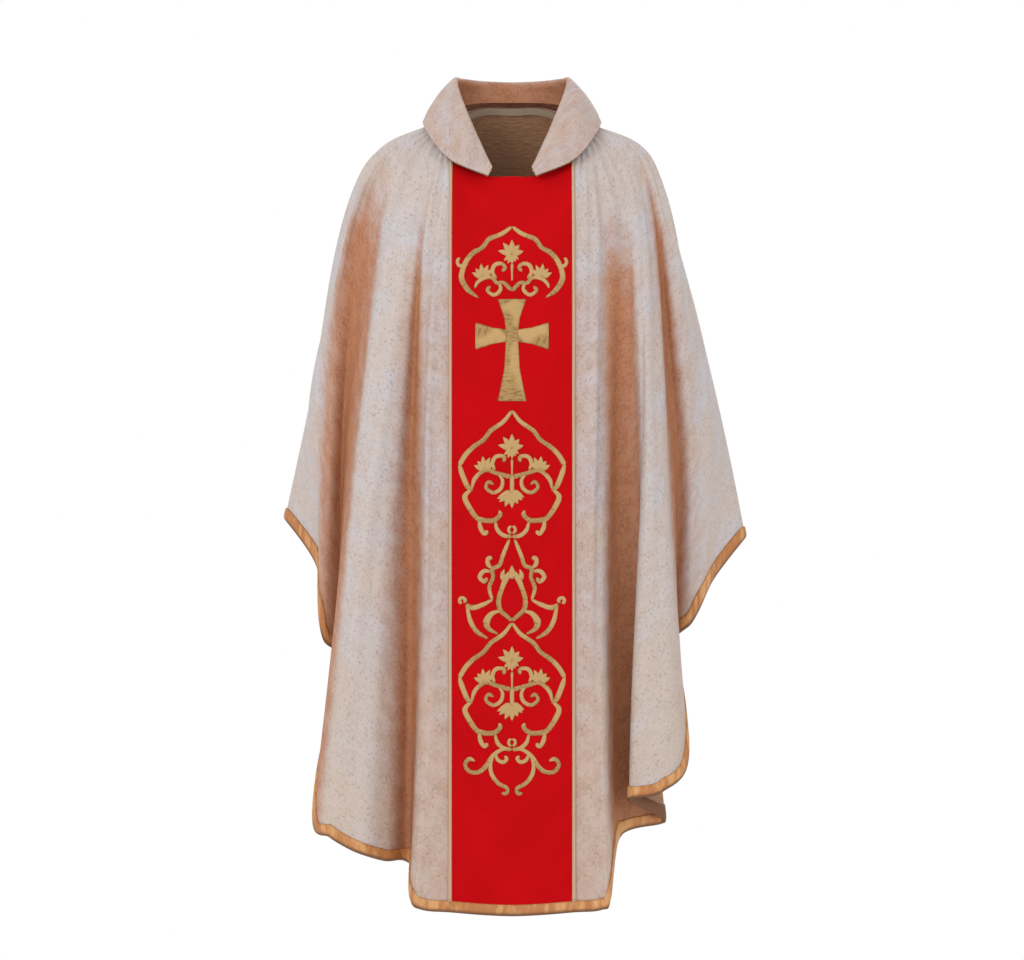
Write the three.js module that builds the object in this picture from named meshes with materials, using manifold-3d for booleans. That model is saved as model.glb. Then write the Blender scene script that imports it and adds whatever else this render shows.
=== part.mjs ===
// A lined Gothic chasuble as it hangs from the shoulders: pleated brocade body, centre
// orphreys with piping and embroidery, bound hems and a wide fold-over collar.
// Millimetres, +Z up. The front faces -Y. The origin is at the base of the wearer's neck,
// level with the collar's outer corners.
import * as THREE from "three";
import { mergeVertices } from "three/addons/utils/BufferGeometryUtils.js";
import Module from "manifold-3d";

const wasm = await Module();
wasm.setup();

// Driving dimensions
const halfSpread = 374; // reach of each side at its lowest point, from the centre
const bodyLength = 1171; // neck front to front hem, measured straight down
const bodyDepth = 178; // how far the front hem stands forward of the shoulder line
const backShare = 0.94; // depth of the back as a share of the front's
const neckHalf = 108; // half width of the neck seam at the shoulders
const neckDrop = 91; // the front of the neck seam lies this far below the origin
const neckRise = 34; // the back of the neck seam lies this far above the origin
const orphreyWidth = 196;
const orphreyThickness = 1.5;
const clothThickness = 1.5;
const liningThickness = 1.2;
const seamOpening = 6; // space between front and back edges along the shoulder seam
const gap = 0.5; // clearance between touching layers
const ease = 1.5; // clearance of trims that cross the cloth's facets
const pipingWidth = 6;
const pipingHeight = 2;
const pipingShoulder = 0.5; // how much lower the piping is at its edges, as a share
const bindingHeight = 12;
const bindingThickness = 1.5;
const collarThickness = 2;
const facingThickness = 1.2;
const stitchWidth = 6; // width of an embroidered line
const stitchHeight = 1.2;
const tapeWidth = 14; // of the tape inside the neck seam
const stayShare = 0.5; // width of the tape inside a shoulder seam, in fold lines each side
const tapeThickness = 1.2;
const shoulderRow = 3; // the side pieces start at this row of the cloth grid
const rows = 11; // rows of the cloth grid, neck to hem
const hemRowShare = 0.015; // the last row is this share of a fold line, to carry the binding
const seamShare = 0.08; // half the opening between a body and a side piece, in fold lines
const tapeRow = 0.6; // the shoulder stays start this many rows below the neck
const shoulderTop = 6.5; // height at which the neck seam meets the shoulder seam
const backNeckFlat = 1.15; // how early the back of the neck seam reaches its full height
const leastFold = 2; // a fold keeps at least this far from the orphrey's edge

// The driving sizes of the cloth, and those at which the fold lines and the collar below are
// stated; the cloth scales from one to the other
const driving = {
  spread: halfSpread,
  length: bodyLength,
  depth: bodyDepth,
  neck: neckHalf,
  drop: neckDrop,
  rise: neckRise,
  orphrey: orphreyWidth,
};
const stated = {
  spread: 374,
  length: 1171,
  depth: 178,
  neck: 108,
  drop: 91,
  rise: 34,
  orphrey: 196,
};

// Share of a fold line's drop at each of its six stations
const stations = [0, 0.06, 0.16, 0.37, 0.66, 1];

// Fold lines from the centre out to the shoulder seam. top: height at the neck, hem: drop of
// the hem below the neck front, x and y: sideways and forward place at the six stations.
const orphreyLines = [
  { top: -91, hem: 1171, x: [0, 0, 0, 0, 0, 0], y: [88, 112, 132, 150, 164, 178] },
  { top: -84, hem: 1169, x: [49, 49, 49, 49, 49, 49], y: [84, 110, 131, 150, 164, 178] },
  { top: -20, hem: 1165, x: [98, 98, 98, 98, 98, 98], y: [48, 98, 126, 148, 163, 177] },
];
const leftLines = [
  { top: -12, hem: 1161, x: [101, 112, 120, 124, 126, 140], y: [40, 90, 122, 150, 168, 182] },
  { top: -8, hem: 1147, x: [103, 122, 136, 139, 139, 157], y: [34, 84, 114, 142, 160, 176] },
  { top: -4, hem: 1093, x: [104, 132, 146, 155, 163, 165], y: [28, 74, 100, 108, 108, 116] },
  { top: -1, hem: 1087, x: [105, 142, 158, 178, 198, 202], y: [22, 66, 94, 120, 132, 142] },
  { top: 2, hem: 1072, x: [106, 155, 180, 203, 230, 245], y: [17, 58, 86, 124, 146, 164] },
  { top: 4, hem: 1049, x: [107, 168, 200, 226, 258, 286], y: [12, 50, 76, 112, 138, 158] },
  { top: 5.5, hem: 1016, x: [107.5, 180, 216, 240, 272, 314], y: [8, 42, 60, 86, 108, 128] },
  { top: 6, hem: 789, x: [108, 192, 234, 258, 272, 272], y: [6, 32, 42, 52, 56, 70] },
  { top: 6.3, hem: 733, x: [108, 200, 248, 280, 296, 302], y: [5, 24, 40, 60, 70, 76] },
  { top: 6.5, hem: 624, x: [108, 204, 248, 286, 322, 312], y: [4, 15, 27, 40, 44, 44] },
  { top: 6.5, hem: 546, x: [108, 208, 249, 287, 321, 366], y: [0, 0, 0, 0, 0, 0] },
];
const rightLines = [
  { top: -12, hem: 1161, x: [101, 112, 120, 124, 126, 140], y: [40, 90, 122, 150, 168, 182] },
  { top: -8, hem: 1145, x: [103, 122, 136, 140, 141, 154], y: [34, 84, 114, 142, 160, 176] },
  { top: -4, hem: 1051, x: [104, 134, 156, 164, 166, 172], y: [28, 74, 98, 104, 106, 118] },
  { top: -1, hem: 1027, x: [105, 146, 182, 194, 205, 242], y: [22, 66, 88, 100, 104, 112] },
  { top: 2, hem: 991, x: [106, 158, 196, 204, 200, 190], y: [17, 58, 84, 118, 138, 152] },
  { top: 4, hem: 976, x: [107, 170, 207, 216, 230, 237], y: [12, 50, 80, 120, 146, 162] },
  { top: 5.5, hem: 924, x: [107.5, 180, 216, 233, 252, 281], y: [8, 42, 66, 98, 120, 136] },
  { top: 6, hem: 759, x: [108, 190, 224, 246, 263, 256], y: [6, 32, 46, 62, 66, 74] },
  { top: 6.3, hem: 709, x: [108, 197, 236, 264, 288, 288], y: [5, 24, 42, 66, 74, 76] },
  { top: 6.5, hem: 647, x: [108, 203, 243, 281, 316, 320], y: [4, 15, 28, 42, 44, 48] },
  { top: 6.5, hem: 576, x: [108, 205, 240, 280, 328, 374], y: [0, 0, 0, 0, 0, 0] },
];
const seamLine = 13; // the last fold line, along the shoulder seam
const edgeLine = 2; // the orphrey's long edge
const stripeEnd = 4; // the proud stripe of cloth beside the orphrey ends here
const sideLine = 10; // the valley where the side piece begins at the hem

const group = new THREE.Group();

// The height of the neck seam at the back, for a fold line's stated height at the front
function backTop(top, size) {
  const share = (shoulderTop - top) / (shoulderTop + stated.drop);
  return shoulderTop + (size.rise - shoulderTop) * Math.min(1, share * backNeckFlat);
}

// One fold line as a smooth curve on the front or the back face
function foldCurve(line, index, side, face, size) {
  const frontTop = line.top < 0 ? line.top * (size.drop / stated.drop) : line.top;
  const top = face === "front" ? frontTop : backTop(line.top, size);
  const hem = -size.drop - line.hem * (size.length / stated.length);
  const points = stations.map((share, station) => {
    const atNeck = station === 0;
    const spread = atNeck ? size.neck / stated.neck : size.spread / stated.spread;
    const forward = atNeck ? size.neck / stated.neck : size.depth / stated.depth;
    const reach = face === "front" || atNeck ? 1 : backShare;
    const x = sideways(line.x[station], index, spread, size);
    const y = seamOpening / 2 + line.y[station] * forward * reach;
    return new THREE.Vector3(side * x, face === "front" ? -y : y, top + (hem - top) * share);
  });
  return new THREE.CatmullRomCurve3(points, false, "centripetal");
}

// Lines on the orphrey and the stripe keep their own widths; the rest follow the spread
function sideways(x, index, spread, size) {
  const edge = size.orphrey / 2;
  if (index <= edgeLine) return edge * (index / edgeLine);
  if (index <= stripeEnd) return edge + (x - stated.orphrey / 2) * Math.min(1, spread);
  return Math.max(edge + leastFold + index, x * spread);
}

// How far along its fold line a row lies
function rowShare(row) {
  return row === rows ? 1 : (row / (rows - 1)) * (1 - hemRowShare);
}

// The cloth grid of one face: places and outward normals on every fold line and row
function clothGrid(face, size) {
  const lines = [];
  for (let column = -seamLine; column <= seamLine; column += 1) {
    const index = Math.abs(column);
    const side = column < 0 ? -1 : 1;
    const list = index <= edgeLine ? orphreyLines : side < 0 ? leftLines : rightLines;
    const line = index <= edgeLine ? list[index] : list[index - edgeLine - 1];
    const curve = foldCurve(line, index, side, face, size);
    lines.push(Array.from({ length: rows + 1 }, (_, row) => curve.getPoint(rowShare(row))));
  }
  const last = lines.length - 1;
  const normals = lines.map((line, column) =>
    line.map((_, row) => {
      const down = line[Math.min(rows, row + 1)].clone().sub(line[Math.max(0, row - 1)]);
      const facing = (from, to) => {
        const across = lines[to][row].clone().sub(lines[from][row]);
        return new THREE.Vector3().crossVectors(down, across).normalize();
      };
      const normal = new THREE.Vector3();
      if (column > 0) normal.add(facing(column - 1, column));
      if (column < last) normal.add(facing(column, column + 1));
      return face === "front" ? normal.normalize() : normal.normalize().negate();
    }),
  );
  return { lines, normals };
}

const grids = { front: clothGrid("front", driving), back: clothGrid("back", driving) };
const statedGrids = { front: clothGrid("front", stated), back: clothGrid("back", stated) };

// A point on a face's facets, at a fold line and a row that need not be whole, lifted off
// the cloth's base surface by a height
function onCloth(face, column, row, height, from = grids) {
  const { lines, normals } = from[face];
  const c = THREE.MathUtils.clamp(column + seamLine, 0, 2 * seamLine);
  const c0 = Math.min(2 * seamLine - 1, Math.floor(c));
  const r0 = THREE.MathUtils.clamp(Math.floor(row), 0, rows - 1);
  const mix = (table) => {
    const upper = table[c0][r0].clone().lerp(table[c0 + 1][r0], c - c0);
    const lower = table[c0][r0 + 1].clone().lerp(table[c0 + 1][r0 + 1], c - c0);
    return upper.lerp(lower, row - r0);
  };
  return mix(lines).addScaledVector(mix(normals).normalize(), height);
}

// The row, counted in parts of a row, a distance above the hem
function rowAboveHem(face, column, distance) {
  const length = onCloth(face, column, rows, 0).distanceTo(onCloth(face, column, rows - 1, 0));
  return rows - distance / length;
}

function merged(geometry) {
  geometry.deleteAttribute("normal");
  geometry.deleteAttribute("uv");
  return mergeVertices(geometry, 1e-4);
}

// Turns the faces of a closed body outwards
function facedOut(geometry) {
  const place = geometry.attributes.position;
  const index = geometry.index.array;
  const corner = (k) => new THREE.Vector3().fromBufferAttribute(place, index[k]);
  let volume = 0;
  for (let k = 0; k < index.length; k += 3) {
    volume += corner(k).dot(corner(k + 1).cross(corner(k + 2)));
  }
  if (volume < 0) {
    for (let k = 0; k < index.length; k += 3) {
      const kept = index[k];
      index[k] = index[k + 1];
      index[k + 1] = kept;
    }
  }
  return geometry;
}

// Moves every vertex of a geometry to where place(x, y, z) says
function mapped(geometry, place) {
  const body = merged(geometry);
  const vertices = body.attributes.position;
  for (let k = 0; k < vertices.count; k += 1) {
    const point = place(vertices.getX(k), vertices.getY(k), vertices.getZ(k));
    vertices.setXYZ(k, point.x, point.y, point.z);
  }
  return facedOut(body);
}

// A thin closed slab whose columns and rows lie at place(u, v, w), each from 0 to 1. Both
// broad faces are split along the same diagonals, so that layers nest.
function slab(columns, slabRows, place) {
  const box = new THREE.BoxGeometry(1, 1, 1, columns, slabRows, 1);
  const index = box.index.array;
  const under = box.groups[5];
  for (let k = under.start; k < under.start + under.count; k += 6) {
    index[k + 2] = index[k + 4];
    index[k + 3] = index[k];
  }
  return mapped(box, (x, y, z) => place(x + 0.5, 0.5 - y, z + 0.5));
}

function addPiece(name, geometry, material) {
  const mesh = new THREE.Mesh(geometry, material.clone());
  mesh.name = name;
  group.add(mesh);
}

function finish(color, roughness, metalness = 0) {
  return new THREE.MeshStandardMaterial({ color, roughness, metalness });
}

const brocade = finish(0xd8cfc4, 0.55);
const liningCloth = finish(0xc9a27c, 0.6);
const orphreyCloth = finish(0xc8081a, 0.6);
const pipingCord = finish(0xcfae6c, 0.5, 0.2);
const satin = finish(0xc98a3a, 0.35, 0.1);
const goldThread = finish(0xc8ab63, 0.4, 0.4);
const tapeCloth = finish(0xe6e0d4, 0.8);

const smooth = (share) => share * share * (3 - 2 * share);

// The fold line on which the body and the side piece meet, at a row
function meetingLine(row) {
  if (row < shoulderRow - 0.5) return seamLine;
  const share = THREE.MathUtils.clamp((row - shoulderRow) / (0.6 * rows), 0, 1);
  return THREE.MathUtils.lerp(seamLine - 0.8, sideLine, smooth(share));
}

// Whole fold lines up to the last one inside the meeting line, then the edge itself
function bodyColumn(share, row) {
  const start = gap / orphreyWidth;
  const fixed = sideLine - 1;
  const columns = fixed + 2;
  const at = share * columns;
  if (at <= fixed) return Math.max(start, at);
  return THREE.MathUtils.lerp(fixed, meetingLine(row) - seamShare, (at - fixed) / (columns - fixed));
}

const sideSteps = seamLine - sideLine; // columns of a side piece
const layers = [
  { suffix: "cloth", from: 0, to: clothThickness, material: brocade },
  { suffix: "lining", from: -gap - liningThickness, to: -gap, material: liningCloth },
];

function addBodyPanels() {
  const steps = sideLine + 1;
  for (const face of ["front", "back"]) {
    for (const [sideName, side] of [["left", -1], ["right", 1]]) {
      for (const { suffix, from, to, material } of layers) {
        const panel = slab(steps, rows, (u, v, w) => {
          const row = v * rows;
          const column = side * bodyColumn(side < 0 ? 1 - u : u, row);
          return onCloth(face, column, row, THREE.MathUtils.lerp(from, to, w));
        });
        addPiece(`${face}_${sideName}_${suffix}`, panel, material);
      }
    }
  }
}

function addSidePieces() {
  for (const [sideName, side] of [["left", -1], ["right", 1]]) {
    for (const face of ["front", "back"]) {
      for (const { suffix, from, to, material } of layers) {
        const piece = slab(sideSteps, rows - shoulderRow, (u, v, w) => {
          const row = THREE.MathUtils.lerp(shoulderRow, rows, v);
          const inner = meetingLine(row) + seamShare;
          const column = side * THREE.MathUtils.lerp(inner, seamLine, side < 0 ? 1 - u : u);
          return onCloth(face, column, row, THREE.MathUtils.lerp(from, to, w));
        });
        addPiece(`${sideName}_side_${face}_${suffix}`, piece, material);
      }
    }
  }
}

const onOrphrey = clothThickness + gap;
const overOrphrey = onOrphrey + orphreyThickness + gap;

function addOrphreys() {
  for (const face of ["front", "back"]) {
    const strip = slab(2 * edgeLine, rows, (u, v, w) => {
      const column = THREE.MathUtils.lerp(-edgeLine, edgeLine, u);
      const end = rowAboveHem(face, column, bindingHeight + gap);
      return onCloth(face, column, Math.min(end, v * rows), onOrphrey + w * orphreyThickness);
    });
    addPiece(`${face}_orphrey`, strip, orphreyCloth);
    const across = pipingWidth / (orphreyWidth / 2 / edgeLine);
    for (const [sideName, side] of [["left", -1], ["right", 1]]) {
      const piping = slab(2, rows, (u, v, w) => {
        const column = side * (edgeLine + (u - 1) * across);
        const end = rowAboveHem(face, column, bindingHeight + gap);
        const crown = 1 - pipingShoulder * Math.abs(2 * u - 1);
        const height = overOrphrey + ease + w * pipingHeight * crown;
        return onCloth(face, column, Math.min(end, v * rows), height);
      });
      addPiece(`${face}_${sideName}_piping`, piping, pipingCord);
    }
  }
}

// A band of satin over the last of the cloth, a little past its edge
function addBinding(name, face, columns) {
  const last = columns.length - 1;
  const strip = slab(last, 1, (u, v, w) => {
    const column = columns[Math.round(u * last)];
    const row = rowAboveHem(face, column, bindingHeight - v * (bindingHeight + gap));
    return onCloth(face, column, row, clothThickness + ease + w * bindingThickness);
  });
  addPiece(name, strip, satin);
}

function addBindings() {
  const inner = meetingLine(rows) - seamShare;
  const whole = Array.from({ length: 2 * sideLine - 1 }, (_, k) => k - sideLine + 1);
  for (const face of ["front", "back"]) {
    addBinding(`${face}_hem_binding`, face, [-inner, ...whole, inner]);
    for (const [sideName, side] of [["left", -1], ["right", 1]]) {
      const start = meetingLine(rows) + seamShare;
      const columns = Array.from({ length: sideSteps + 1 }, (_, step) => {
        return side * THREE.MathUtils.lerp(start, seamLine - seamShare, step / sideSteps);
      });
      if (side < 0) columns.reverse();
      addBinding(`${sideName}_side_${face}_binding`, face, columns);
    }
  }
}

// Curves of the collar, from the middle of the back round the right side to the front end
const collarShape = {
  seam: [[0, 80, 42], [60, 71, 40], [97, 42, 30], [107, 0, 15], [99, -44, -9], [72, -68, -50],
    [34, -90, -84]],
  roll: [[0, 86, 74], [46, 77, 75], [80, 46, 76], [91, 4, 73], [84, -34, 44], [62, -70, -12],
    [33, -96, -78]],
  edge: [[0, 136, -6], [60, 128, -2], [112, 96, 6], [143, 14, 7], [130, -64, -26], [98, -98, -64],
    [38, -104, -90]],
};

// Where a place stated above the cloth goes, so that it keeps its stand off the cloth nearest
// to it when the cloth's sizes change
function followCloth(place) {
  let nearest = { distance: Infinity };
  for (const face of ["front", "back"]) {
    for (let column = 0; column <= seamLine; column += 0.5) {
      for (let row = 0; row <= shoulderRow; row += 0.25) {
        const distance = onCloth(face, column, row, 0, statedGrids).distanceTo(place);
        if (distance < nearest.distance) nearest = { distance, face, column, row };
      }
    }
  }
  const { face, column, row } = nearest;
  const moved = onCloth(face, column, row, 0).sub(onCloth(face, column, row, 0, statedGrids));
  if (place.x === 0) moved.x = 0;
  return place.add(moved);
}

function collarCurve(points) {
  const half = points.map((point) => followCloth(new THREE.Vector3(...point)));
  const mirrored = half.slice(1).map((p) => new THREE.Vector3(-p.x, p.y, p.z));
  return new THREE.CatmullRomCurve3([...mirrored.reverse(), ...half], false, "centripetal");
}

const collarCurves = {
  seam: collarCurve(collarShape.seam),
  roll: collarCurve(collarShape.roll),
  edge: collarCurve(collarShape.edge),
};

// A point of the collar between two of its curves, with a bulge and a height off the sheet
function onCollar(inner, outer, u, v, bulge, height) {
  const at = (share, depth) => {
    return inner.getPoint(share).lerp(outer.getPoint(share), depth);
  };
  const step = 0.01;
  const around = at(Math.min(1, u + step), v).sub(at(Math.max(0, u - step), v));
  const out = at(u, 1).sub(at(u, 0));
  const normal = around.cross(out).normalize();
  return at(u, v).addScaledVector(normal, bulge * Math.sin(Math.PI * v) + height);
}

function addCollar() {
  const { seam, roll, edge } = collarCurves;
  const around = 24;
  const bulge = 5;
  const fallWidth = 80; // about how far the fall reaches from the roll line to its edge
  const margin = 3; // the fall and the stand stay this far from the roll line
  const rolled = collarThickness / 2;
  const sheet = (inner, outer, crown, from, to, start) =>
    slab(around, 3, (u, v, w) => {
      const depth = THREE.MathUtils.lerp(start, 1, v);
      return onCollar(inner, outer, u, depth, crown, THREE.MathUtils.lerp(from, to, w));
    });
  const share = margin / fallWidth;
  addPiece("collar_fall", sheet(roll, edge, bulge, rolled, rolled + collarThickness, share), brocade);
  const facingTop = rolled - gap;
  const facing = sheet(roll, edge, bulge, facingTop - facingThickness, facingTop, share);
  addPiece("collar_facing", facing, liningCloth);
  const stand = sheet(roll, seam, 0, -collarThickness - rolled, -rolled, 2 * share);
  addPiece("collar_stand", stand, brocade);
}

// Tapes that hold the neck and shoulder seams, inside the lining
function addTapes() {
  const under = -gap - liningThickness - 2 * ease;
  for (const face of ["front", "back"]) {
    const neck = slab(2 * (sideLine - 2), 1, (u, v, w) => {
      const column = THREE.MathUtils.lerp(2 - sideLine, sideLine - 2, u);
      const length = onCloth(face, column, 1, 0).distanceTo(onCloth(face, column, 0, 0));
      return onCloth(face, column, (v * tapeWidth) / length, under - w * tapeThickness);
    });
    addPiece(`${face}_neck_tape`, neck, tapeCloth);
  }
  for (const [sideName, side] of [["left", -1], ["right", 1]]) {
    const stay = slab(3, shoulderRow - 1, (u, v, w) => {
      const row = THREE.MathUtils.lerp(tapeRow, shoulderRow - 1 + tapeRow, v);
      const face = u < 0.5 ? "front" : "back";
      const inward = Math.abs(2 * u - 1) > 0.5 ? stayShare : 0;
      return onCloth(face, side * (seamLine - inward), row, under - w * tapeThickness);
    });
    addPiece(`${sideName}_shoulder_stay`, stay, tapeCloth);
  }
}

// The column and row of the orphrey at a sideways place and a height
function orphreyPlace(face, x, z, height) {
  const column = x / (orphreyWidth / 2 / edgeLine);
  let upper = 0;
  let lower = rows;
  for (let pass = 0; pass < 30; pass += 1) {
    const middle = (upper + lower) / 2;
    if (onCloth(face, column, middle, 0).z > z) upper = middle;
    else lower = middle;
  }
  return onCloth(face, column, upper, height);
}

// Embroidered motifs: lines are drawn on the right half and mirrored, x out and z down from
// the motif's own top; stems stand on the centre line
const medallion = {
  lines: [
    [[0, 0], [30, 22], [80, 78], [70, 126], [77, 142], [56, 176], [20, 166]],
    [[20, 166], [34, 182], [0, 202]],
    [[0, 124], [22, 104], [50, 88]],
    [[0, 168], [30, 140], [48, 116], [50, 88]],
  ],
  stems: [[[0, 44], [0, 202]]],
  star: [0, 66],
};
const crest = {
  lines: [
    [[0, 0], [38, 22], [74, 52], [72, 86], [54, 114]],
    [[54, 114], [36, 84], [0, 104]],
    [[0, 84], [24, 70], [48, 66]],
    [[48, 66], [52, 90]],
  ],
  stems: [[[0, 22], [0, 106]]],
  star: [0, 42],
};
const link = {
  lines: [
    [[0, 9], [17, 20], [44, 60], [37, 96], [78, 99]],
    [[0, 46], [24, 92], [2, 124]],
    [[-1, 117], [36, 118], [60, 138], [54, 152]],
    [[38, 95], [20, 88]],
  ],
  stems: [[[0, 12], [0, 129]]],
};
const tail = {
  lines: [
    [[0, 3], [30, 14], [62, 5], [66, 26], [46, 30]],
    [[0, 3], [14, 25], [38, 32], [26, 56], [12, 64]],
  ],
  stems: [[[0, 0], [0, 30]]],
};
const cross = {
  bars: [
    { from: [0, 0], to: [0, 162], wide: 44, narrow: 20 },
    { from: [-56, 58], to: [56, 58], wide: 44, narrow: 20 },
  ],
};
const motifs = [
  { name: "crest", top: 81, pattern: crest },
  { name: "cross", top: 198, pattern: cross },
  { name: "upper_medallion", top: 374, pattern: medallion },
  { name: "link", top: 578, pattern: link },
  { name: "lower_medallion", top: 710, pattern: medallion },
  { name: "tail_scrolls", top: 921, pattern: tail },
];

// Leaves of the star flower: how far they reach, how wide they are at the tip, and how much
// wider in the middle
const starLeaf = { across: 21, down: 17, tip: 3, belly: 8 };

// A band of stitches along a line, from its first to its last point
function stitchBand(points, segments, widthAt, place) {
  const curve = new THREE.CatmullRomCurve3(points.map(([x, z]) => new THREE.Vector3(x, 0, z)));
  return slab(1, segments, (u, v, w) => {
    const point = curve.getPoint(v);
    const along = curve.getTangent(v);
    const offset = (u - 0.5) * widthAt(v);
    return place(point.x - along.z * offset, point.z + along.x * offset, w);
  });
}

function manifoldOf(geometry) {
  const vertProperties = new Float32Array(geometry.attributes.position.array);
  const triVerts = new Uint32Array(geometry.index.array);
  return new wasm.Manifold(new wasm.Mesh({ numProp: 3, vertProperties, triVerts }));
}

function geometryOf(solid) {
  const mesh = solid.getMesh();
  const geometry = new THREE.BufferGeometry();
  geometry.setAttribute("position", new THREE.BufferAttribute(mesh.vertProperties, 3));
  geometry.setIndex(new THREE.BufferAttribute(mesh.triVerts, 1));
  return geometry;
}

// All bands of a motif, each as a slab on the orphrey's face
function motifBands(pattern, place) {
  const plain = () => stitchWidth;
  const bands = [];
  for (const points of pattern.lines ?? []) {
    const mirrored = points.map(([x, z]) => [-x, z]);
    const segments = points.length > 3 ? points.length - 1 : 2 * (points.length - 1);
    bands.push(stitchBand(points, segments, plain, place));
    bands.push(stitchBand(mirrored, segments, plain, place));
  }
  for (const points of pattern.stems ?? []) {
    bands.push(stitchBand(points, 2, plain, place));
  }
  for (const { from, to, wide, narrow } of pattern.bars ?? []) {
    const flare = (v) => narrow + (wide - narrow) * (2 * v - 1) ** 4;
    bands.push(stitchBand([from, to], 4, flare, place));
  }
  if (pattern.star) {
    const [x, z] = pattern.star;
    for (const angle of [0, 60, 120]) {
      const turn = THREE.MathUtils.degToRad(angle);
      const reach = [starLeaf.across * Math.cos(turn), starLeaf.down * Math.sin(turn)];
      const ends = [[x - reach[0], z - reach[1]], [x + reach[0], z + reach[1]]];
      const swelling = (v) => starLeaf.tip + starLeaf.belly * (1 - Math.abs(2 * v - 1));
      bands.push(stitchBand(ends, 2, swelling, place));
    }
  }
  return bands;
}

function addEmbroidery() {
  const widthScale = orphreyWidth / stated.orphrey;
  const lengthScale = bodyLength / stated.length;
  for (const face of ["front", "back"]) {
    for (const { name, top, pattern } of motifs) {
      const place = (x, z, w) => {
        const height = -neckDrop - (top + z) * lengthScale;
        const lift = overOrphrey + ease / 2 + w * stitchHeight;
        return orphreyPlace(face, x * widthScale, height, lift);
      };
      const bands = motifBands(pattern, place).map(manifoldOf);
      const joined = bands.reduce((whole, band) => whole.add(band));
      addPiece(`${face}_${name}`, geometryOf(joined), goldThread);
    }
  }
}

addBodyPanels();
addSidePieces();
addOrphreys();
addBindings();
addCollar();
addTapes();
addEmbroidery();

export default group;
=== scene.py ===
import math

import bpy
import numpy as np
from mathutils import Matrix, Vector


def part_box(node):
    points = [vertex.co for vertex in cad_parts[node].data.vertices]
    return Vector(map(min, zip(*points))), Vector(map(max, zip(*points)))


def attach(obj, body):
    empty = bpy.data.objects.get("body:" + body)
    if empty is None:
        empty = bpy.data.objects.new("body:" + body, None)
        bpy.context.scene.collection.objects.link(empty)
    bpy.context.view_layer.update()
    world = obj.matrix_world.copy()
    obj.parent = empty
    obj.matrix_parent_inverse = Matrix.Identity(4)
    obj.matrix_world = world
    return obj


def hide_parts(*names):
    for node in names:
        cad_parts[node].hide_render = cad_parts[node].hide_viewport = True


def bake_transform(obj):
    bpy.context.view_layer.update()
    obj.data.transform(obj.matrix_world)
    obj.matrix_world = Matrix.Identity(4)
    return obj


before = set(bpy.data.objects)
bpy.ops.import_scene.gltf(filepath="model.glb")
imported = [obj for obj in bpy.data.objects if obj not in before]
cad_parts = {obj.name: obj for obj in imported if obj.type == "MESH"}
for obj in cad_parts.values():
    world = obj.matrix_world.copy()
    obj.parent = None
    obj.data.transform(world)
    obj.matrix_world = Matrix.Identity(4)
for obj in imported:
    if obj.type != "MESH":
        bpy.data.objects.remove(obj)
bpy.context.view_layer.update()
bpy.ops.object.select_all(action="DESELECT")

# camera first, level with the middle of the garment and far enough back to flatten it
view = {"lens": 150, "sensor": 36, "seenWidth": 1.638, "planeY": -0.09, "lookHeight": -0.576}
reach = view["seenWidth"] * view["lens"] / view["sensor"]
bpy.ops.object.camera_add(location=(0, view["planeY"] - reach, view["lookHeight"]),
                          rotation=(math.pi / 2, 0, 0))
camera = bpy.context.object
camera.data.lens = view["lens"]
camera.data.sensor_width = view["sensor"]
bpy.context.scene.camera = camera
bpy.context.scene.view_settings.view_transform = "Standard"

# how the garment hangs, scaled by the frame's own sizes
hang = {
    "statedSpread": 0.3745,  # the right side's reach at which the fold lines are written down
    "statedDrop": 1.2699,  # shoulder to hem at which they are written down
    "statedDepth": 0.1843,  # front of the orphrey at which they are written down
    "backShare": 0.94,
    "neckRise": 34,  # height of the back neck seam over the shoulder's own zero
    "shoulderTop": 6.5,  # height of the shoulder seam at the neck
    "frontNeck": -91,  # height of the front neck seam at the middle
    "backNeckFlat": 1.15,  # how soon the back neck reaches its full height
    "bandFold": 49,  # width between fold lines on the centre bands
    "stations": [0, 0.06, 0.16, 0.37, 0.66, 1],
}
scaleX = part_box("right_side_front_cloth")[1].x / hang["statedSpread"] / 1000
clothLow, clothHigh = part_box("front_left_cloth")
scaleZ = (clothHigh.z - clothLow.z) / hang["statedDrop"] / 1000
scaleY = -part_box("front_orphrey")[0].y / hang["statedDepth"] / 1000

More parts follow.
